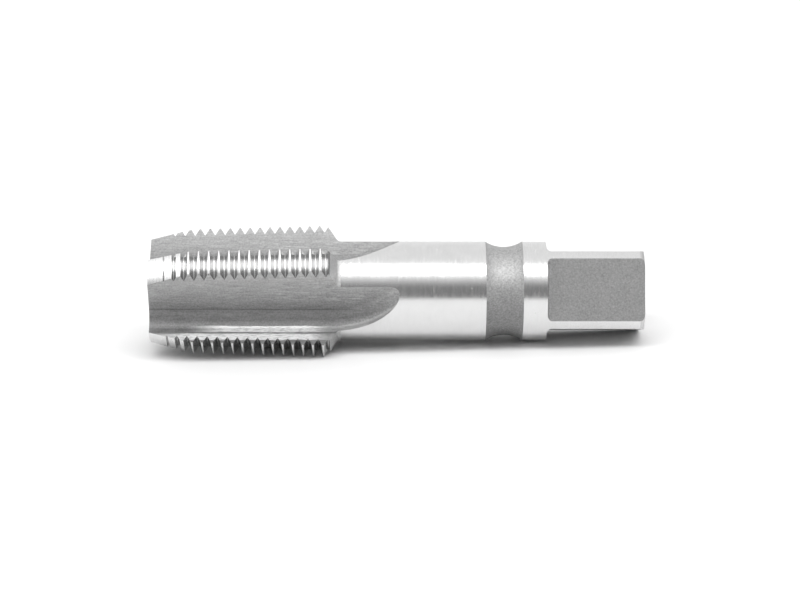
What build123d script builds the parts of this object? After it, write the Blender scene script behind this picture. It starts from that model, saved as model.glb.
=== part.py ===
from build123d import *
import os
from math import acos, atan2, ceil, cos, degrees, radians, sin, tan

# A hand tap for a right-hand 1:16 taper pipe thread, ground from one bar of tool steel.
# It is drawn upright along +Z with the cutting end at the origin, then laid on its side as it
# comes to rest. Angles are counted round +Z from +X, which is the middle of one flute, and each
# land has its cutting edge on its side of smaller angle. Lengths are in millimetres and angles
# in degrees.

# Heights along the axis, measured from the face of the cutting end
lead_length = 7.8
thread_length = 32.0
full_flute_length = 32.1
neck_start = 60.7
neck_end = 67.4
square_start = 71.7
overall_length = 89.3

# Thread: 14 turns to the inch, 60 degree form, nearly sharp at the crest and the root
pitch = 25.4 / 14
thread_angle = 60
thread_depth = 0.8 * pitch
root_flat = 0.038 * pitch
taper_per_side = 1 / 32
front_crest_radius = 11.4
first_root_height = 1.277

# Cutting end, and the shoulder where the thread drops to the shank
front_face_radius = 9.35
shoulder_angle = 60
shoulder_foot_fillet = 1.0

# Flutes, milled by a disc cutter whose side makes the heel wall of a flute and whose rim makes
# the cutting wall. The rim runs out of the shank on its own radius.
flute_count = 4
land_angle = 20.7
rake_angle = 4.3
flute_angle = 93.3
flute_bottom_radius = 2.55
spindle_offset = 15.15
spindle_radius = 1.6

# Shank, the neck groove turned round it and the driving square
shank_radius = 9
neck_depth = 1.0
across_flats = 14
square_clocking = -19.3
square_shoulder_fillet = 0.85
end_round = 0.85

# Centre holes in both ends, for grinding the tap between centres
centre_hole_radius = 1.0
centre_hole_depth = 3.6
centre_mouth_radius = 2.1
centre_angle = 60

# How far a cutter reaches past the metal that it removes. Over each land the thread cutter starts
# and ends inside the flutes beside it.
clearance = 1.0
crest_overlap = 0.02
thread_over_run = 8
thread_sweep = land_angle + 2 * thread_over_run


def crest_radius(height):
    """Radius of the full thread crest at a height above the cutting end."""
    return front_crest_radius + taper_per_side * height


def thread_cutter(start_angle):
    """V cutters for every turn of the groove across one land, swept up the helix from +X."""
    cutter_depth = thread_depth + crest_overlap
    root_half_width = root_flat / 2
    mouth_half_width = root_half_width + cutter_depth * tan(radians(thread_angle / 2))
    with BuildPart() as cutter:
        with BuildLine() as path:
            Helix(pitch, pitch * thread_sweep / 360, front_crest_radius)
        with BuildSketch(Plane.XZ):
            for turn in range(ceil(thread_length / pitch)):
                height = first_root_height + pitch * (start_angle / 360 + turn)
                root = crest_radius(height) - thread_depth
                mouth = root + cutter_depth
                with BuildLine():
                    Polyline(
                        (root, height - root_half_width),
                        (mouth, height - mouth_half_width),
                        (mouth + clearance, height - mouth_half_width),
                        (mouth + clearance, height + mouth_half_width),
                        (mouth, height + mouth_half_width),
                        (root, height + root_half_width),
                        close=True,
                    )
                make_face()
        sweep(path=path.wires()[0], is_frenet=True)
    return cutter.part


# A flute is drawn across the axis, x square to its heel wall and y outward along that wall
large_crest_radius = crest_radius(thread_length)
half_mouth = (360 / flute_count - land_angle) / 2
heel_wall_direction = half_mouth - rake_angle - flute_angle
flute_plane = Plane(
    origin=(0, 0, full_flute_length),
    x_dir=Vector(1, 0, 0).rotate(Axis.Z, heel_wall_direction + 90),
    z_dir=(0, 0, -1),
)
edge_bearing = radians(half_mouth - heel_wall_direction)
heel_bearing = radians(-half_mouth - heel_wall_direction)
cutting_edge = (large_crest_radius * sin(edge_bearing), large_crest_radius * cos(edge_bearing))
heel_wall_x = large_crest_radius * sin(heel_bearing)
cutting_wall_slope = tan(radians(90 - flute_angle))
flute_bottom = (heel_wall_x, cutting_edge[1] - (cutting_edge[0] - heel_wall_x) * cutting_wall_slope)
flute_outside = (cutting_edge[0] + clearance, cutting_edge[1] + clearance * cutting_wall_slope)
flute_top = spindle_offset - spindle_radius

with BuildPart() as flute_cutter:
    with BuildSketch(flute_plane) as flute_section:
        with BuildLine():
            Polyline(
                flute_bottom,
                flute_outside,
                (flute_outside[0], flute_top),
                (heel_wall_x, flute_top),
                close=True,
            )
        make_face()
        bottom_corner = flute_section.vertices().sort_by_distance(flute_bottom)[0]
        fillet(bottom_corner, radius=flute_bottom_radius)
    extrude(amount=full_flute_length + clearance)
    revolve(
        flute_section.sketch,
        axis=Axis(flute_plane.from_local_coords((0, spindle_offset, 0)), flute_plane.x_dir),
        revolution_arc=90,
    )

# One flat of the square is milled from a vertical section through the middle of that flat
half_square = across_flats / 2
flat_outside = shank_radius + clearance
with BuildPart() as flat_cutter:
    with BuildSketch(Plane.XZ) as flat_section:
        with BuildLine():
            Polyline(
                (half_square, square_start),
                (flat_outside, square_start),
                (flat_outside, overall_length + clearance),
                (half_square, overall_length + clearance),
                close=True,
            )
        make_face()
        shoulder_corner = flat_section.vertices().sort_by_distance((half_square, square_start))[0]
        fillet(shoulder_corner, radius=square_shoulder_fillet)
    extrude(amount=flat_outside, both=True)

# Outline of the turned blank, on one side of the axis
shoulder_length = (large_crest_radius - shank_radius) / tan(radians(shoulder_angle))
shoulder_foot = (shank_radius, thread_length + shoulder_length)
neck_bottom = (shank_radius - neck_depth, (neck_start + neck_end) / 2)
end_corner = (shank_radius, overall_length)

with BuildPart() as tap:
    with BuildSketch(Plane.XZ) as blank_section:
        with BuildLine():
            Polyline(
                (shank_radius, neck_start),
                shoulder_foot,
                (large_crest_radius, thread_length),
                (crest_radius(lead_length), lead_length),
                (front_face_radius, 0),
                (0, 0),
                (0, overall_length),
                end_corner,
                (shank_radius, neck_end),
            )
            ThreePointArc((shank_radius, neck_end), neck_bottom, (shank_radius, neck_start))
        make_face()
        foot = blank_section.vertices().sort_by_distance(shoulder_foot)[0]
        fillet(foot, radius=shoulder_foot_fillet)
        end = blank_section.vertices().sort_by_distance(end_corner)[0]
        fillet(end, radius=end_round)
    revolve(axis=Axis.Z)

    with PolarLocations(0, flute_count):
        add(flute_cutter.part, mode=Mode.SUBTRACT)

    for flute in range(flute_count):
        land_start = 360 / flute_count * flute + half_mouth - thread_over_run
        add(thread_cutter(land_start), rotation=(0, 0, land_start), mode=Mode.SUBTRACT)

    with PolarLocations(0, 4, start_angle=square_clocking):
        add(flat_cutter.part, mode=Mode.SUBTRACT)

    end_faces = tap.faces().filter_by(Axis.Z)
    with Locations(Plane(end_faces.sort_by(Axis.Z)[0]), Plane(end_faces.sort_by(Axis.Z)[-1])):
        CounterSinkHole(
            radius=centre_hole_radius,
            counter_sink_radius=centre_mouth_radius,
            depth=centre_hole_depth,
            counter_sink_angle=centre_angle,
        )

# At rest two lands meet the surface at their last full crest, one on each side of the flute that
# faces down, and one corner of the square meets it at the other end
corner_from_flat = degrees(acos(half_square / shank_radius))
corner_from_down = corner_from_flat + square_clocking
land_reach = large_crest_radius * cos(radians(half_mouth))
corner_reach = shank_radius * cos(radians(corner_from_down))
reach_span = overall_length - end_round - thread_length
rest_tilt = atan2(land_reach - corner_reach, reach_span)
rest_plane = Plane(origin=(0, 0, 0), x_dir=(0, -1, 0), z_dir=(cos(rest_tilt), 0, -sin(rest_tilt)))
tap.part.move(rest_plane.location)
rest_box = tap.part.bounding_box()
tap.part.move(Location((-rest_box.center().X, -rest_box.center().Y, -rest_box.min.Z)))

os.makedirs("parts", exist_ok=True)
tap.part.label = "tap"
export_step(tap.part, "parts/tap.step")
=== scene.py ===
import bpy
import math
import numpy as np
from mathutils import Matrix, Vector


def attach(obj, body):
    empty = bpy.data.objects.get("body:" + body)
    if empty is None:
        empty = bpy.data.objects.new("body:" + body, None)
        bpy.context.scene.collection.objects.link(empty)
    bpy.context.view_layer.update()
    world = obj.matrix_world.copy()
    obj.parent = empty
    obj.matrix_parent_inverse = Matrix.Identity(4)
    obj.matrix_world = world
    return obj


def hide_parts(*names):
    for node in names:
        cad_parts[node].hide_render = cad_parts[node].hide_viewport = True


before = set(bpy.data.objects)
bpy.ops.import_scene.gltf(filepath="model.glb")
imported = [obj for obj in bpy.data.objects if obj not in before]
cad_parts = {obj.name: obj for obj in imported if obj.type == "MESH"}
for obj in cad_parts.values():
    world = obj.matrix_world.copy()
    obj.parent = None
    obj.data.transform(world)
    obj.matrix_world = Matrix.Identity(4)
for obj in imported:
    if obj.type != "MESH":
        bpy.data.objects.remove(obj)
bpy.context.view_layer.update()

# A hand tap for a taper pipe thread: the CAD solid again, with a mesh that follows the helix and
# one steel for each finish. It is drawn upright along +Z in millimetres, cutting end at the origin,
# and laid on its side in metres at the end. Angles are in degrees unless a comment says otherwise.
MM = 0.001

# ---------------------------------------------------------------- sizes of the tap
LEAD_LENGTH = 7.8
THREAD_LENGTH = 32.0
FULL_FLUTE_LENGTH = 32.1
NECK_START = 60.7
NECK_END = 67.4
SQUARE_START = 71.7
OVERALL_LENGTH = 89.3

# Thread: 14 turns to the inch on a taper of 1:16. The flats and the row places are in pitches.
PITCH = 25.4 / 14
THREAD_DEPTH = 0.8 * PITCH
TAPER = 1 / 32
FRONT_CREST_RADIUS = 11.4
FIRST_ROOT = 1.277
ROOT_FLAT = 0.057
CREST_FLAT = 0.11
FORM_SOFTNESS = 0.02

# Cutting end and shoulder
FRONT_FACE_RADIUS = 9.35
SHOULDER_ANGLE = 60
SHOULDER_FILLET = 1.0

# Lands and flutes
LAND_ANGLE = 20.7
RAKE_ANGLE = 4.3
FLUTE_ANGLE = 93.3
FLUTE_RADIUS = 2.55
SPINDLE_OFFSET = 15.15
SPINDLE_RADIUS = 1.6

# Shank, neck groove and driving square
SHANK_RADIUS = 9.0
NECK_DEPTH = 1.0
HALF_SQUARE = 7.0
SQUARE_CLOCKING = -19.3
SQUARE_FILLET = 0.85
END_ROUND = 0.85

# Centre holes in both ends
CENTRE_HOLE_RADIUS = 1.0
CENTRE_HOLE_DEPTH = 3.6
CENTRE_MOUTH_RADIUS = 2.1
CENTRE_MOUTH_SLOPE = math.sqrt(3)

# ---------------------------------------------------------------- sizes of the mesh
# Rows of the thread form from a root to a crest, in pitches: beside each corner, and on the flank
ROOT_ROW_GAP = 0.012
FLANK_ROWS = [0.14, 0.25, 0.31, 0.37]
CROWN_ROW_GAPS = [-0.03, -0.01, 0, 0.012]
CREST_EDGE = 0.005
TURNS_OF_THREAD = range(-3, 21)

# The threaded bar is longer than the tap and ends in a thick bar; the blank then cuts it to shape
BAR_FRONT_TIP = -12
BAR_REAR_TIP = 50
THICK_BAR_START = 34.2
THICK_BAR_END = 100
THICK_BAR_RADIUS = 16
BLANK_MARGIN = 0.02

# How far a cutter reaches past the metal that it removes
CLEARANCE = 1.0
FLAT_CLEARANCE = 1.5
FLAT_HALF_WIDTH = 10.5
MOUTH_MARGIN = 0.01

# Shading of the thread: its normals lean this much towards the heel, and the flanks turn round
# into the crest from this many pitches beside a root, on its side towards the square and on the
# other. The slope of the form is taken over a small step, and edges of the holes sharper than an
# angle stay sharp.
RELIEF_SLOPE = 0.03
REAR_FADE = 0.25
FRONT_FADE = 0.36
FORM_STEP = 0.004
SHARP_ANGLE = 25

COLUMNS = 360
GROUND, NECK, CONE, THREAD, CREST, LEAD, FACE, FLUTE, RAKE, FLAT, HOLE = range(11)
ZONES = ("ground", "neck", "shoulder", "thread", "crest", "lead", "face", "flute", "rake", "flat",
         "hole")


def crest(z):
    """Radius of the full thread crest at a height."""
    return FRONT_CREST_RADIUS + TAPER * z


LARGE_CREST = crest(THREAD_LENGTH)
HALF_MOUTH = math.radians((90 - LAND_ANGLE) / 2)  # this and the next are in radians
HEEL_DIRECTION = HALF_MOUTH - math.radians(RAKE_ANGLE + FLUTE_ANGLE)
FLUTE_TOP = SPINDLE_OFFSET - SPINDLE_RADIUS

# Arc of the neck groove, and the end of the fillet at the foot of the shoulder
NECK_MIDDLE = (NECK_START + NECK_END) / 2
NECK_CHORD = (NECK_END - NECK_START) / 2
NECK_RADIUS = (NECK_CHORD**2 + NECK_DEPTH**2) / (2 * NECK_DEPTH)
SHOULDER_SLOPE = math.radians(SHOULDER_ANGLE)
SHOULDER_LENGTH = (LARGE_CREST + BLANK_MARGIN - SHANK_RADIUS) / math.tan(SHOULDER_SLOPE)
FOOT_END = THREAD_LENGTH + SHOULDER_LENGTH + SHOULDER_FILLET * math.tan(SHOULDER_SLOPE / 2)


# ---------------------------------------------------------------- solids
def solid(name, verts, faces, zones):
    """A closed mesh with its faces outward and a material for each zone."""
    points = np.array(verts, float)
    volume = 0.0
    for face in faces:
        a = points[face[0]]
        for b, c in zip(face[1:-1], face[2:]):
            volume += np.dot(a, np.cross(points[b], points[c]))
    if volume < 0:
        faces = [face[::-1] for face in faces]
    mesh = bpy.data.meshes.new(name)
    mesh.from_pydata([tuple(v) for v in points], [], faces)
    for zone in ZONES:
        mesh.materials.append(MATERIALS[zone])
    mesh.polygons.foreach_set("material_index", zones)
    mesh.update()
    obj = bpy.data.objects.new(name, mesh)
    bpy.context.scene.collection.objects.link(obj)
    return obj


def arc(cx, cy, r, a0, a1, n):
    """Points of an arc, first and last included, angles in degrees."""
    t = np.radians(np.linspace(a0, a1, n + 1))
    return [(cx + r * math.cos(a), cy + r * math.sin(a)) for a in t]


def lathe(name, runs):
    """Turns a closed outline, given as (zone, points) runs from axis to axis, round +Z."""
    outline, seg_zone = [runs[0][1][0]], []
    for zone, pts in runs:
        for p in pts:
            if math.dist(p, outline[-1]) > 1e-6:
                outline.append(p)
                seg_zone.append(zone)
    t = np.radians(np.arange(COLUMNS) * 360 / COLUMNS)
    verts, rings = [], []
    for r, z in outline:
        if r < 1e-9:
            rings.append([len(verts)] * COLUMNS)
            verts.append((0, 0, z))
        else:
            rings.append(list(range(len(verts), len(verts) + COLUMNS)))
            verts += [(r * math.cos(a), r * math.sin(a), z) for a in t]
    faces, zones = [], []
    for a, b, zone in zip(rings[:-1], rings[1:], seg_zone):
        for i in range(COLUMNS):
            j = (i + 1) % COLUMNS
            quad = [a[i], a[j], b[j], b[i]]
            face = [v for k, v in enumerate(quad) if v != quad[k - 1]]
            faces.append(face)
            zones.append(zone)
    return solid(name, verts, faces, zones)


def stack(name, loops, seg_zone):
    """Skins closed loops of equal length, one after the other, and caps both ends."""
    n = len(loops[0])
    verts = [p for loop in loops for p in loop]
    faces, zones = [], []
    for k in range(len(loops) - 1):
        for i in range(n):
            j = (i + 1) % n
            faces.append([k * n + i, k * n + j, (k + 1) * n + j, (k + 1) * n + i])
            zones.append(seg_zone[i])
    faces.append(list(range(n))[::-1])
    faces.append([(len(loops) - 1) * n + i for i in range(n)])
    return solid(name, verts, faces, zones + [FACE, FACE])


def turn(points, degrees):
    """Points turned round +Z."""
    c, s = math.cos(math.radians(degrees)), math.sin(math.radians(degrees))
    return [(c * x - s * y, s * x + c * y, z) for x, y, z in points]


def blank():
    """The turned blank, a little over the thread crests so that their flats stay whole."""
    swing = math.degrees(math.asin(NECK_CHORD / NECK_RADIUS))
    end_z = OVERALL_LENGTH - END_ROUND
    end_r = SHANK_RADIUS - END_ROUND
    lead_top = (crest(LEAD_LENGTH) + BLANK_MARGIN, LEAD_LENGTH)
    shoulder_top = (LARGE_CREST + BLANK_MARGIN, THREAD_LENGTH)
    foot = arc(SHANK_RADIUS + SHOULDER_FILLET, FOOT_END, SHOULDER_FILLET,
               180 + SHOULDER_ANGLE, 180, 10)
    return lathe("blank", [
        (FACE, [(0, 0), (FRONT_FACE_RADIUS, 0)]),
        (LEAD, [(FRONT_FACE_RADIUS, 0), lead_top]),
        (THREAD, [lead_top, shoulder_top]),
        (CONE, [shoulder_top] + foot),
        (GROUND, [foot[-1], (SHANK_RADIUS, NECK_START)]),
        (NECK, arc(SHANK_RADIUS - NECK_DEPTH + NECK_RADIUS, NECK_MIDDLE, NECK_RADIUS,
                   180 + swing, 180 - swing, 24)),
        (GROUND, [(SHANK_RADIUS, NECK_END), (SHANK_RADIUS, end_z)]),
        (FACE, arc(end_r, end_z, END_ROUND, 0, 90, 10)),
        (FACE, [(end_r, OVERALL_LENGTH), (0, OVERALL_LENGTH)]),
    ])


def thread_form(d):
    """Height of the thread above its root, 0 to 1, at a distance d in pitches from a root."""
    t = (d - ROOT_FLAT / 2) / (0.5 - ROOT_FLAT / 2 - CREST_FLAT / 2)
    low = 0.5 * (t + math.sqrt(t * t + FORM_SOFTNESS**2))
    u = 1 - low
    return 1 - 0.5 * (u + math.sqrt(u * u + FORM_SOFTNESS**2))


def threaded_bar():
    """A long bar with the thread on it: rows of the mesh follow the helix."""
    root, crown = ROOT_FLAT / 2, 0.5 - CREST_FLAT / 2
    phases = [0, root - ROOT_ROW_GAP, root, root + ROOT_ROW_GAP] + FLANK_ROWS
    phases += [crown + gap for gap in CROWN_ROW_GAPS]
    phases += [0.5] + [1 - p for p in phases[:0:-1]]
    n = len(phases)
    rows = [k + p for k in TURNS_OF_THREAD for p in phases]
    verts = np.zeros((COLUMNS, len(rows), 3))
    t = np.radians(np.arange(COLUMNS) * 360 / COLUMNS)
    for j, h in enumerate(rows):
        d = abs(h - round(h))
        z = FIRST_ROOT + PITCH * (t / (2 * math.pi) + h)
        r = crest(z) - THREAD_DEPTH * (1 - thread_form(d))
        verts[:, j] = np.stack([r * np.cos(t), r * np.sin(t), z], axis=1)
    m = len(rows)
    index = lambda i, j: i * m + j
    faces, zones = [], []
    for i in range(COLUMNS):
        for j in range(m - 1):
            if i + 1 < COLUMNS:
                quad = [index(i, j), index(i + 1, j), index(i + 1, j + 1), index(i, j + 1)]
            elif j + n + 1 < m:
                quad = [index(i, j), index(0, j + n), index(0, j + n + 1), index(i, j + 1)]
            else:
                continue
            faces.append(quad)
            middle = rows[j] + 0.5 * (rows[j + 1] - rows[j])
            on_crest = abs(middle - round(middle)) > crown - CREST_EDGE
            zones.append(CREST if on_crest else THREAD)
    points = [tuple(v) for v in verts.reshape(-1, 3)]
    # front cap, below the front face
    low = [index(i, 0) for i in range(COLUMNS)] + [index(0, j) for j in range(n, 0, -1)]
    hub = len(points)
    points.append((0, 0, BAR_FRONT_TIP))
    for a, b in zip(low, low[1:] + low[:1]):
        faces.append([b, a, hub])
        zones.append(THREAD)
    # rear cap, inside the thick bar that joins on there
    top = [index(i, m - 1) for i in range(COLUMNS)]
    top += [index(COLUMNS - 1, j) for j in range(m - 2, m - 2 - n, -1)]
    hub = len(points)
    points.append((0, 0, BAR_REAR_TIP))
    for a, b in zip(top, top[1:] + top[:1]):
        faces.append([a, b, hub])
        zones.append(THREAD)
    return solid("threaded_bar", points, faces, zones)


def section_points():
    """Flute section in its own frame, x square to the heel wall and y outward along it."""
    eb = HALF_MOUTH - HEEL_DIRECTION
    hb = -HALF_MOUTH - HEEL_DIRECTION
    edge = (LARGE_CREST * math.sin(eb), LARGE_CREST * math.cos(eb))
    wall_x = LARGE_CREST * math.sin(hb)
    slope = math.tan(math.radians(90 - FLUTE_ANGLE))
    bottom_y = edge[1] - (edge[0] - wall_x) * slope
    tip = math.atan(slope)
    cx = wall_x + FLUTE_RADIUS
    cy = bottom_y + slope * FLUTE_RADIUS + FLUTE_RADIUS / math.cos(tip)
    end = 270 + math.degrees(tip)
    curve = arc(cx, cy, FLUTE_RADIUS, 180, end, 20)
    outside = (edge[0] + CLEARANCE, edge[1] + CLEARANCE * slope)
    return wall_x, (cx, cy), tip, curve, outside


def flute_local():
    """Directions across the tap of the section's x and y, for the flute round +X."""
    c, s = math.cos(HEEL_DIRECTION), math.sin(HEEL_DIRECTION)
    return np.array([-s, c]), np.array([c, s])


def flute_cutter(k):
    """The flute section drawn straight along the tap, then swung out round the spindle."""
    wall_x, centre, tip, curve, outside = section_points()
    x_dir, y_dir = flute_local()
    wall = [(wall_x, y) for y in np.linspace(FLUTE_TOP, centre[1], 5)[:-1]]
    rake = [(a, b) for a, b in zip(np.linspace(curve[-1][0], outside[0], 9)[1:],
                                   np.linspace(curve[-1][1], outside[1], 9)[1:])]
    section = wall + curve + rake + [(outside[0], FLUTE_TOP)]
    zones = [FLUTE] * (len(wall) + len(curve) - 1) + [RAKE] * len(rake) + [FACE, FACE]

    def place(x, y, z):
        p = x * x_dir + y * y_dir
        return (p[0], p[1], z)

    loops = [[place(x, y, z) for x, y in section] for z in (-CLEARANCE, FULL_FLUTE_LENGTH)]
    for a in np.radians(np.linspace(0, 90, 61)[1:]):
        loops.append([place(x, SPINDLE_OFFSET - (SPINDLE_OFFSET - y) * math.cos(a),
                            FULL_FLUTE_LENGTH + (SPINDLE_OFFSET - y) * math.sin(a))
                      for x, y in section])
    loops = [turn(loop, 90 * k) for loop in loops]
    return stack(f"flute_cutter_{k}", loops, zones)


def flat_cutter(k):
    """Mills one flat of the square, with the fillet at its shoulder."""
    far, end = SHANK_RADIUS + FLAT_CLEARANCE, OVERALL_LENGTH + CLEARANCE
    fillet = arc(HALF_SQUARE + SQUARE_FILLET, SQUARE_START + SQUARE_FILLET, SQUARE_FILLET,
                 180, 270, 10)
    section = [(HALF_SQUARE, end)] + fillet + [(far, SQUARE_START), (far, end)]
    loops = [turn([(x, y, z) for x, z in section], SQUARE_CLOCKING + 90 * k)
             for y in (FLAT_HALF_WIDTH, -FLAT_HALF_WIDTH)]
    return stack(f"flat_cutter_{k}", loops, [FLAT] * len(section))


def centre_cutter(name, z, way):
    """Drills a centre hole into the end face at height z; way is 1 for up and -1 for down."""
    mouth = (CENTRE_MOUTH_RADIUS - CENTRE_HOLE_RADIUS) * CENTRE_MOUTH_SLOPE
    pts = [(0, z - way), (CENTRE_MOUTH_RADIUS + MOUTH_MARGIN, z - way), (CENTRE_MOUTH_RADIUS, z),
           (CENTRE_HOLE_RADIUS, z + way * mouth),
           (CENTRE_HOLE_RADIUS, z + way * CENTRE_HOLE_DEPTH), (0, z + way * CENTRE_HOLE_DEPTH)]
    return lathe(name, [(HOLE, pts if way > 0 else pts[::-1])])


def cut(obj, operation, other):
    """Applies a boolean to obj and deletes the other mesh."""
    step = obj.modifiers.new(other.name, "BOOLEAN")
    step.operation = operation
    step.solver = "MANIFOLD"
    step.object = other
    graph = bpy.context.evaluated_depsgraph_get()
    mesh = bpy.data.meshes.new_from_object(obj.evaluated_get(graph))
    obj.modifiers.clear()
    old = obj.data
    obj.data = mesh
    bpy.data.meshes.remove(old)
    spare = other.data
    bpy.data.objects.remove(other)
    bpy.data.meshes.remove(spare)


# ---------------------------------------------------------------- surface normals
def polar(p, nr, nz):
    """Unit normals at p from their parts away from the axis and along it."""
    r = np.hypot(p[:, 0], p[:, 1]) + 1e-9
    n = np.stack([nr * p[:, 0] / r, nr * p[:, 1] / r, nz + 0 * r], axis=1)
    return n / np.linalg.norm(n, axis=1)[:, None]


def quarter(angle):
    """The nearest quarter turn, in radians."""
    return np.round(angle / (math.pi / 2)) * (math.pi / 2)


def spin(p, angle):
    """Points turned round +Z, each by its own angle in radians."""
    c, s = np.cos(angle), np.sin(angle)
    return np.stack([c * p[:, 0] - s * p[:, 1], s * p[:, 0] + c * p[:, 1], p[:, 2]], axis=1)


def thread_normals(p, middle):
    """Normals of the helical surface, from the slope of the thread form at each mesh corner. The
    flanks turn round into the crest, and all lean a little towards the heel, as if relieved."""
    def phase(q):
        return (q[:, 2] - FIRST_ROOT) / PITCH - np.arctan2(q[:, 1], q[:, 0]) / (2 * math.pi)

    h, mid = phase(p), phase(middle)
    d, side = np.abs(h - np.round(h)), np.where(mid - np.round(mid) > 0, 1.0, -1.0)
    slope = np.array([thread_form(v + FORM_STEP) - thread_form(v - FORM_STEP) for v in d])
    crown = 0.5 - CREST_FLAT / 2
    start = np.where(side > 0, REAR_FADE, FRONT_FADE)
    fade = np.clip((d - start) / (crown - start), 0, 1)
    slope = TAPER + side * (1 - fade) * slope * THREAD_DEPTH / (2 * FORM_STEP * PITCH)
    r, a = np.hypot(p[:, 0], p[:, 1]), np.arctan2(p[:, 1], p[:, 0])
    lead = PITCH * slope / (2 * math.pi * r) + RELIEF_SLOPE
    n = np.stack([np.cos(a) - lead * np.sin(a), np.sin(a) + lead * np.cos(a), -slope], axis=1)
    return n / np.linalg.norm(n, axis=1)[:, None]


def zone_normals(zone, p, middle):
    """Outward normals of a zone at points p; middle is the centre of each point's face. They are
    those of the true surface, except on the thread."""
    r, z = np.hypot(p[:, 0], p[:, 1]), p[:, 2]
    if zone == GROUND:
        return polar(p, 1.0, 0.0)
    if zone in (THREAD, CREST):
        return thread_normals(p, middle)
    if zone == NECK:
        return polar(p, SHANK_RADIUS - NECK_DEPTH + NECK_RADIUS - r, NECK_MIDDLE - z)
    if zone == CONE:
        cosine, sine = math.cos(SHOULDER_SLOPE), math.sin(SHOULDER_SLOPE)
        plain = middle[:, 2] < FOOT_END - SHOULDER_FILLET * sine
        return polar(p, np.where(plain, cosine, SHANK_RADIUS + SHOULDER_FILLET - r),
                     np.where(plain, sine, FOOT_END - z))
    if zone == LEAD:
        return polar(p, 1.0, -(crest(LEAD_LENGTH) - FRONT_FACE_RADIUS) / LEAD_LENGTH)
    if zone == FACE:
        flat = (z < 0.01) | (middle[:, 2] > OVERALL_LENGTH - 1e-4)
        return polar(p, np.where(flat, 0.0, r - SHANK_RADIUS + END_ROUND),
                     np.where(flat, np.where(z < 1, -1.0, 1.0), z - OVERALL_LENGTH + END_ROUND))
    if zone == FLAT:
        clock = math.radians(SQUARE_CLOCKING)
        a = clock + quarter(np.arctan2(middle[:, 1], middle[:, 0]) - clock)
        u = p[:, 0] * np.cos(a) + p[:, 1] * np.sin(a)
        plain = middle[:, 2] > SQUARE_START + SQUARE_FILLET
        nu = np.where(plain, 1.0, HALF_SQUARE + SQUARE_FILLET - u)
        nz = np.where(plain, 0.0, SQUARE_START + SQUARE_FILLET - z)
        n = np.stack([nu * np.cos(a), nu * np.sin(a), nz], axis=1)
        return n / np.linalg.norm(n, axis=1)[:, None]
    # flute walls: back to the straight section, whose normal then swings with the cutter
    a = quarter(np.arctan2(middle[:, 1], middle[:, 0]))
    local, half = spin(p, -a), spin(middle, -a)
    x_dir, y_dir = flute_local()
    wall_x, centre, tip, curve, outside = section_points()

    def unwind(q):
        x, y = q[:, :2] @ x_dir, q[:, :2] @ y_dir
        out = np.maximum(q[:, 2] - FULL_FLUTE_LENGTH, 0.0)
        phi = np.arctan2(out, SPINDLE_OFFSET - y)
        return x, SPINDLE_OFFSET - np.hypot(out, SPINDLE_OFFSET - y), np.where(out > 0, phi, 0.0)

    x, y, phi = unwind(local)
    _, my, _ = unwind(half)
    if zone == RAKE:
        nx, ny = np.full(len(p), -math.sin(tip)), np.full(len(p), math.cos(tip))
    else:
        wall = my > centre[1]
        nx = np.where(wall, 1.0, (centre[0] - x) / FLUTE_RADIUS)
        ny = np.where(wall, 0.0, (centre[1] - y) / FLUTE_RADIUS)
    n = np.stack([nx * x_dir[0] + ny * np.cos(phi) * y_dir[0],
                  nx * x_dir[1] + ny * np.cos(phi) * y_dir[1], -ny * np.sin(phi)], axis=1)
    n = spin(n, a)
    return n / np.linalg.norm(n, axis=1)[:, None]


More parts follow.
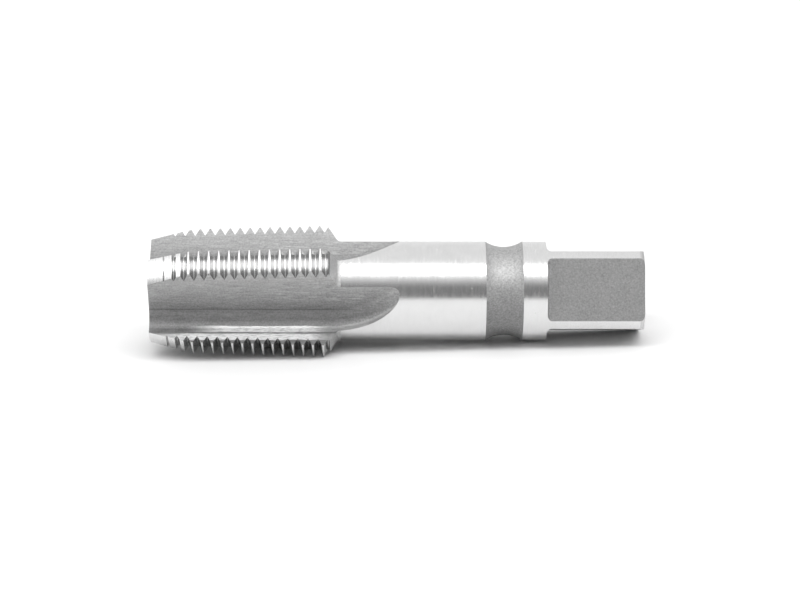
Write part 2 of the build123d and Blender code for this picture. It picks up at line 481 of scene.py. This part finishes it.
# ---------------------------------------------------------------- material nodes
class Tree:
    """Small help for writing node trees."""

    def __init__(self, tree):
        self.tree = tree
        tree.nodes.clear()

    def node(self, kind, props=None, **inputs):
        """A node with its inputs set or linked, by name or as i0, i1 by place."""
        n = self.tree.nodes.new(kind)
        for key, value in (props or {}).items():
            setattr(n, key, value)
        for key, value in inputs.items():
            name = key.replace("_", " ")
            sockets = [s for s in n.inputs if s.name == name and s.enabled]
            socket = sockets[0] if sockets else n.inputs[int(key[1:])]
            if isinstance(value, bpy.types.NodeSocket):
                self.tree.links.new(value, socket)
            else:
                socket.default_value = value
        return n

    def math(self, op, a, b=0.0, clamp=False):
        return self.node("ShaderNodeMath", {"operation": op, "use_clamp": clamp}, i0=a,
                         i1=b).outputs[0]

    def times(self, a, b):
        return self.math("MULTIPLY", a, b)

    def less(self, value, share):
        """The value with a share of it taken away."""
        return self.times(value, self.math("SUBTRACT", 1.0, share))

    def around(self, value, size):
        """A noise of 0 to 1 made to swing about 0."""
        return self.times(self.math("SUBTRACT", value, 0.5), size)

    def ramp(self, value, low, high, to_low=0.0, to_high=1.0, smooth=True):
        """Goes from to_low to to_high as the value goes from low to high, and stays there."""
        kind = "SMOOTHSTEP" if smooth else "LINEAR"
        n = self.tree.nodes.new("ShaderNodeMapRange")
        n.interpolation_type = kind
        self.tree.links.new(value, n.inputs[0])
        for k, v in enumerate((low, high, to_low, to_high), 1):
            n.inputs[k].default_value = v
        return n.outputs[0]

    def band(self, value, centre, half, soft):
        """1 within half of the centre, 0 beyond it by soft."""
        away = self.math("ABSOLUTE", self.math("SUBTRACT", value, centre))
        return self.ramp(away, half, half + soft, 1.0, 0.0)

    def noise(self, vector, stretch, scale, detail, roughness):
        """Noise drawn out along the axes where stretch is small."""
        v = self.node("ShaderNodeVectorMath", {"operation": "MULTIPLY"}, i0=vector, i1=stretch)
        n = self.node("ShaderNodeTexNoise", Vector=v.outputs[0], Scale=scale, Detail=detail,
                      Roughness=roughness)
        return n.outputs["Fac"]

    def grey(self, value):
        return self.node("ShaderNodeCombineColor", i0=value, i1=value, i2=value).outputs[0]

    def place(self, attribute):
        """A place in mm that the mesh carries: the vector, and its three parts."""
        p = self.node("ShaderNodeAttribute", {"attribute_name": attribute}).outputs["Vector"]
        return p, self.node("ShaderNodeSeparateXYZ", i0=p).outputs


# Fine grain and slow stain of all the steel, in 1/mm, and how the marks of a finish are drawn out:
# a small number along a direction makes them long there
GRAIN_SCALE = 3.2
STAIN_SCALE = 0.35
STAIN_TONE = 0.08
SPECKLED_BUMP = 0.5
PLAIN_BUMP = 0.1
ROUND_MARKS = (0.5, 0.5, 4.0)
TURNED_MARKS = (1, 1, 2.0)
LONG_MARKS = (3, 3, 0.3)
NO_MARKS = (1, 1, 1)

# Marks, painted shade and painted highlights on the flute walls, in mm: x and y across the tap as
# in the flute section, z the height. A band is its centre, half its width and its soft edge. The
# others are where a change starts and ends, and from which value to which it goes.
LENS_BAND = (8.4, 0.5, 0.3)
LENS_RISE = (6.0, 15.0)
TEETH_BAND = (10.2, 0.6, 0.3)
TEETH_RISE = (1.0, 8.0, 0.4, 0.95)
BRIGHT_WANDER = 0.8
BRIGHT_GRAIN = (0.36, 0.54, 0.5, 0.97)
BRIGHT_END = (28.5, 32.5, 1.0, 0.25)
BRIGHT_SHADE = 0.98
BRIGHT_ROUGH = 0.5
WALL_SHADE_RISE = (0.0, 10.0, 0.62, 1.16)
HEEL_LINE_SHADE_BAND = (1.14, 0.05, 0.09)
HEEL_LINE_SHADE_SIDE = (5.95, 6.1, 0.3, 0.0)
SCRAPE_PATCHES = (0.52, 0.66, 0.0, 0.34)
SCRAPE_BAND = (5.0, 1.0, 1.6)
SCRAPE_RISE = (2.0, 22.0)
RIM_RISE = (33.0, 39.0, 0.0, 0.55)
RIM_SIDE = (7.0, 9.0)
BLOTCH_PATCHES = (0.52, 0.62, 0.0, 0.6)
BLOTCH_SIDE = (9.3, 10.1)
BLOTCH_END = (14.0, 18.0, 1.0, 0.15)

# Painted shade of the groove behind the last tooth, which the mesh doesn't cut, and painted shade
# that pales the neck from its underside to its top
GROOVE_BAND = (THREAD_LENGTH + 0.5, 0.06, 0.08)
GROOVE_SHADE_DEPTH = 0.7
NECK_SHADE_RISE = (-4.5, 2.0, 1.08, 0.66)


def milled(t, colour, roughness):
    """Marks of the flutes: bright bands where the wheel ground the cutting face, a real finish that
    is also painted brighter as a highlight; painted shade, darker towards the bottom of each flute
    and in a thin line where the heel wall meets the bottom; scrapes, the paler rim of the run-out,
    and dark mottling by the tips of the front teeth."""
    p, _ = t.place("tap")
    cut_place, c = t.place("cut")
    streaks = t.noise(cut_place, (4, 4, 0.2), 1.0, 3.0, 0.7)
    fine = t.noise(cut_place, (9, 9, 0.9), 1.0, 2.0, 0.6)
    # Bright bands where the wheel ground the cutting face: a real finish, and a painted highlight
    # too
    wave = t.math("ADD", c[0], t.around(streaks, BRIGHT_WANDER))
    lens_part = t.times(t.band(wave, *LENS_BAND), t.ramp(c[2], *LENS_RISE))
    teeth_part = t.times(t.band(wave, *TEETH_BAND), t.ramp(c[2], *TEETH_RISE))
    bright = t.math("MAXIMUM", lens_part, teeth_part)
    bright = t.times(bright, t.ramp(fine, *BRIGHT_GRAIN))
    bright = t.times(bright, t.ramp(c[2], *BRIGHT_END))

    # Painted shade: the flute walls darker towards the bottom of the flute and paler towards its
    # rim
    colour = t.times(colour, t.ramp(c[1], *WALL_SHADE_RISE, False))
    # Painted shade: a thin dark line where the heel wall meets the bottom of the flute
    colour = t.less(colour, t.times(t.band(c[1], *HEEL_LINE_SHADE_BAND), t.ramp(c[0], *HEEL_LINE_SHADE_SIDE)))
    scrapes = t.ramp(t.noise(cut_place, (3, 3, 0.35), 1.0, 3.0, 0.65), *SCRAPE_PATCHES)
    scrapes = t.times(scrapes, t.times(t.band(c[1], *SCRAPE_BAND), t.ramp(c[2], *SCRAPE_RISE)))
    colour = t.times(colour, t.math("ADD", 1.0, scrapes))
    rim = t.times(t.ramp(c[2], *RIM_RISE), t.ramp(c[0], *RIM_SIDE))
    colour = t.times(colour, t.math("ADD", 1.0, rim))
    blotches = t.ramp(t.noise(p, NO_MARKS, 2.2, 3.0, 0.6), *BLOTCH_PATCHES)
    near_tips = t.times(t.ramp(c[1], *BLOTCH_SIDE), t.ramp(c[2], *BLOTCH_END))
    colour = t.less(colour, t.times(blotches, near_tips))

    # The bright bands laid over the colour: part ground finish, part painted highlight
    colour = t.math("ADD", t.less(colour, bright), t.times(bright, BRIGHT_SHADE))
    roughness = t.math("ADD", t.less(roughness, bright), t.times(bright, BRIGHT_ROUGH))
    return colour, roughness


def grooved(t, colour, roughness):
    """The shoulder, with painted shade: a thin dark line for the groove behind the last tooth."""
    _, xyz = t.place("tap")
    return t.less(colour, t.times(t.band(xyz[2], *GROOVE_BAND), GROOVE_SHADE_DEPTH)), roughness


def painted_underside_shade(t, colour, roughness):
    """Painted shade: darker on the underside and paler on the side that faces up as the tap lies,
    which is -Y here.
    """
    _, xyz = t.place("tap")
    return t.times(colour, t.ramp(xyz[1], *NECK_SHADE_RISE)), roughness


def steel(zone, shade, rough, bump, stretch, scale, speckle=0.0, marks_tone=0.12,
          marks_rough=0.25, metal=1.0, extra=None):
    """Steel of one finish: its shade and roughness, the bump of its marks in metres, how they are
    drawn out and their scale in 1/mm, the tone of its speckle and of its marks, and how much the
    marks change the roughness."""
    m = bpy.data.materials.new(f"steel_{zone}")
    m.use_nodes = True
    t = Tree(m.node_tree)
    p, _ = t.place("tap")
    marks = t.noise(p, stretch, scale, 3.0, 0.6)
    grain = t.noise(p, NO_MARKS, GRAIN_SCALE, 2.0, 0.7)
    stain = t.noise(p, NO_MARKS, STAIN_SCALE, 3.0, 0.6)
    tone = t.math("ADD", t.around(marks, marks_tone), t.around(grain, speckle))
    tone = t.math("ADD", tone, t.around(stain, STAIN_TONE))
    colour = t.math("ADD", tone, shade, clamp=True)
    roughness = t.math("ADD", t.around(marks, marks_rough), rough, clamp=True)
    if extra:
        colour, roughness = extra(t, colour, roughness)
    height = t.math("ADD", marks, t.times(grain, SPECKLED_BUMP if speckle else PLAIN_BUMP))
    b = t.node("ShaderNodeBump", Strength=1.0, Distance=bump, Height=height)
    s = t.node("ShaderNodeBsdfPrincipled", Metallic=metal, Base_Color=t.grey(colour),
               Roughness=roughness, Normal=b.outputs[0])
    t.node("ShaderNodeOutputMaterial", Surface=s.outputs[0])
    return m


MATERIALS = {
    "ground": steel("ground", 0.74, 0.22, 2e-6, ROUND_MARKS, 1.0),
    "neck": steel("neck", 0.44, 0.6, 6e-6, TURNED_MARKS, 3.0, 0.55, extra=painted_underside_shade),
    "shoulder": steel("shoulder", 0.55, 0.5, 6e-6, TURNED_MARKS, 3.0, 0.45, metal=0.8,
                      extra=grooved),
    "thread": steel("thread", 0.56, 0.12, 1e-6, ROUND_MARKS, 1.0, marks_rough=0.06),
    "crest": steel("crest", 0.7, 0.3, 2e-6, ROUND_MARKS, 1.0),
    "lead": steel("lead", 0.78, 0.3, 2e-6, ROUND_MARKS, 1.0),
    "face": steel("face", 0.6, 0.35, 4e-6, NO_MARKS, 3.0, 0.1),
    "flute": steel("flute", 0.42, 0.6, 8e-6, LONG_MARKS, 1.0, 0.42, marks_tone=0.35, metal=0.8,
                   extra=milled),
    "rake": steel("rake", 0.4, 0.5, 6e-6, LONG_MARKS, 1.0, 0.3, marks_tone=0.3, extra=milled),
    "flat": steel("flat", 0.44, 0.5, 6e-6, NO_MARKS, 4.0, 0.45),
    "hole": steel("hole", 0.5, 0.4, 4e-6, NO_MARKS, 3.0, 0.1),
}


# ---------------------------------------------------------------- the tap
def cut_tap():
    """The whole tap as one mesh, standing along +Z in mm."""
    bar = threaded_bar()
    thick_outline = [(0, THICK_BAR_START), (THICK_BAR_RADIUS, THICK_BAR_START),
                     (THICK_BAR_RADIUS, THICK_BAR_END), (0, THICK_BAR_END)]
    cut(bar, "UNION", lathe("thick_bar", [(THREAD, thick_outline)]))
    cut(bar, "INTERSECT", blank())
    for k in range(4):
        cut(bar, "DIFFERENCE", flute_cutter(k))
        cut(bar, "DIFFERENCE", flat_cutter(k))
    cut(bar, "DIFFERENCE", centre_cutter("front_centre", 0.0, 1))
    cut(bar, "DIFFERENCE", centre_cutter("rear_centre", OVERALL_LENGTH, -1))
    return bar


def read(items, key, width=1, kind=float):
    """A property of mesh items as an array, one row for each item."""
    values = np.empty(len(items) * width, kind)
    items.foreach_get(key, values)
    return values.reshape(-1, width) if width > 1 else values


def corner_normals(mesh, points, zone, corner_vertex, corner_face, middles):
    """Blender's own smooth normals in the centre holes, and worked out ones elsewhere."""
    mesh.polygons.foreach_set("use_smooth", [True] * len(mesh.polygons))
    mesh.set_sharp_from_angle(angle=math.radians(SHARP_ANGLE))
    normals = read(mesh.corner_normals, "vector", 3)
    for worked_out in range(HOLE):
        pick = zone[corner_face] == worked_out
        if pick.any():
            normals[pick] = zone_normals(worked_out, points[corner_vertex[pick]],
                                         middles[corner_face[pick]])
    return normals


def flute_places(points, zone, corner_vertex, corner_face, middles):
    """Where each point is in the section of its flute, x and y, and the height."""
    in_flute = np.isin(zone[corner_face], (FLUTE, RAKE))
    middle = middles[corner_face[in_flute]]
    bearing = np.zeros(len(points))
    bearing[corner_vertex[in_flute]] = quarter(np.arctan2(middle[:, 1], middle[:, 0]))
    local = spin(points, -bearing)
    along, outward = flute_local()
    return np.stack([local[:, :2] @ along, local[:, :2] @ outward, points[:, 2]], axis=1)


def carry(mesh, name, places):
    """Keeps a place for each point in the mesh, where the materials read it."""
    attribute = mesh.attributes.new(name, "FLOAT_VECTOR", "POINT")
    attribute.data.foreach_set("vector", places.ravel())


def lying_down():
    """Turns the standing tap to how it rests: on two lands and on one corner of its square."""
    corner_from_down = math.acos(HALF_SQUARE / SHANK_RADIUS) + math.radians(SQUARE_CLOCKING)
    land_reach = LARGE_CREST * math.cos(HALF_MOUTH)
    corner_reach = SHANK_RADIUS * math.cos(corner_from_down)
    tilt = math.atan2(land_reach - corner_reach, OVERALL_LENGTH - END_ROUND - THREAD_LENGTH)
    return np.array([[0, -math.sin(tilt), math.cos(tilt)],
                     [-1, 0, 0],
                     [0, -math.cos(tilt), -math.sin(tilt)]])


tap = cut_tap()
mesh = tap.data
points = read(mesh.vertices, "co", 3)
zone_of = read(mesh.polygons, "material_index", kind=int)
middles = read(mesh.polygons, "center", 3)
corner_vertex = read(mesh.loops, "vertex_index", kind=int)
corner_count = read(mesh.polygons, "loop_total", kind=int)
corner_face = np.repeat(np.arange(len(corner_count)), corner_count)
corners = (zone_of, corner_vertex, corner_face, middles)
normals = corner_normals(mesh, points, *corners)
carry(mesh, "tap", points)
carry(mesh, "cut", flute_places(points, *corners))

# laid down, in metres, centred over the origin and on the floor
lie = lying_down()
placed = points @ lie.T * MM
low, high = placed.min(axis=0), placed.max(axis=0)
shift = np.array([-(low[0] + high[0]) / 2, -(low[1] + high[1]) / 2, -low[2]])
mesh.vertices.foreach_set("co", (placed + shift).ravel())
mesh.update()
mesh.normals_split_custom_set((normals @ lie.T).tolist())
tap.name = "tap_steel"
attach(tap, "root")
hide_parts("tap")

# ---------------------------------------------------------------- floor
FLOOR_SIZE = 6.0
FLOOR_COLOUR = (0.9, 0.9, 0.9, 1)

bpy.ops.mesh.primitive_plane_add(size=FLOOR_SIZE)
floor = bpy.context.object
floor.name = "floor"
paint = bpy.data.materials.new("pale_floor")
paint.use_nodes = True
t = Tree(paint.node_tree)
pale = t.node("ShaderNodeBsdfDiffuse", Color=FLOOR_COLOUR)
t.node("ShaderNodeOutputMaterial", Surface=pale.outputs[0])
floor.data.materials.append(paint)

# ---------------------------------------------------------------- light
# The studio is the world. Its level changes with the angle round the long axis of the tap, which is
# 0 on the side of the camera, 90 above and 180 on the far side, and falls off past both ends. The
# room is dim in front and pale above and behind, with a long soft lamp between.
ROOM = (24.0, 56.0, 0.24, 0.95)
LAMP_ON = (54.0, 62.0, 0.0, 3.7)
LAMP_OFF = (73.0, 82.0, 1.0, 0.0)
END_FALL = (0.5, 0.95, 1.0, 0.4)

world = bpy.data.worlds.new("studio")
bpy.context.scene.world = world
world.use_nodes = True
t = Tree(world.node_tree)
direction = t.node("ShaderNodeTexCoord").outputs["Generated"]
xyz = t.node("ShaderNodeSeparateXYZ", i0=direction).outputs
swing = t.times(t.math("ARCTAN2", xyz[2], t.times(xyz[1], -1.0)), 180 / math.pi)
lamp = t.times(t.ramp(swing, *LAMP_ON), t.ramp(swing, *LAMP_OFF))
level = t.math("ADD", t.ramp(swing, *ROOM), lamp)
ends = t.ramp(t.math("ABSOLUTE", xyz[0]), *END_FALL)
light = t.node("ShaderNodeBackground", Color=t.grey(t.times(level, ends)), Strength=1.0)
t.node("ShaderNodeOutputWorld", Surface=light.outputs[0])

# ---------------------------------------------------------------- camera
# Fitted to the photograph: its distance and aim in metres, its angles, and its focal length in
# pixels of a picture 800 wide
PHOTO_WIDTH = 800
FOCAL_PIXELS = 3020.0
SENSOR_WIDTH = 36.0
CLIP_START = 0.01
DISTANCE = 0.55
ELEVATION = math.radians(17.97)
ROLL = math.radians(-1.64)
TARGET = Vector((0.00058, 0.0, 0.00804))

toward_camera = Vector((0.0, -math.cos(ELEVATION), math.sin(ELEVATION)))
right = (-toward_camera).cross(Vector((0, 0, 1))).normalized()
up = right.cross(-toward_camera)
right_rolled = math.cos(ROLL) * right + math.sin(ROLL) * up
up_rolled = -math.sin(ROLL) * right + math.cos(ROLL) * up
lens = bpy.data.cameras.new("camera")
lens.sensor_width = SENSOR_WIDTH
lens.lens = FOCAL_PIXELS * SENSOR_WIDTH / PHOTO_WIDTH
lens.clip_start = CLIP_START
camera = bpy.data.objects.new("camera", lens)
bpy.context.scene.collection.objects.link(camera)
pose = Matrix((right_rolled, up_rolled, toward_camera)).transposed().to_4x4()
pose.translation = TARGET + DISTANCE * toward_camera
camera.matrix_world = pose
bpy.context.scene.camera = camera

bpy.context.scene.view_settings.view_transform = "Standard"
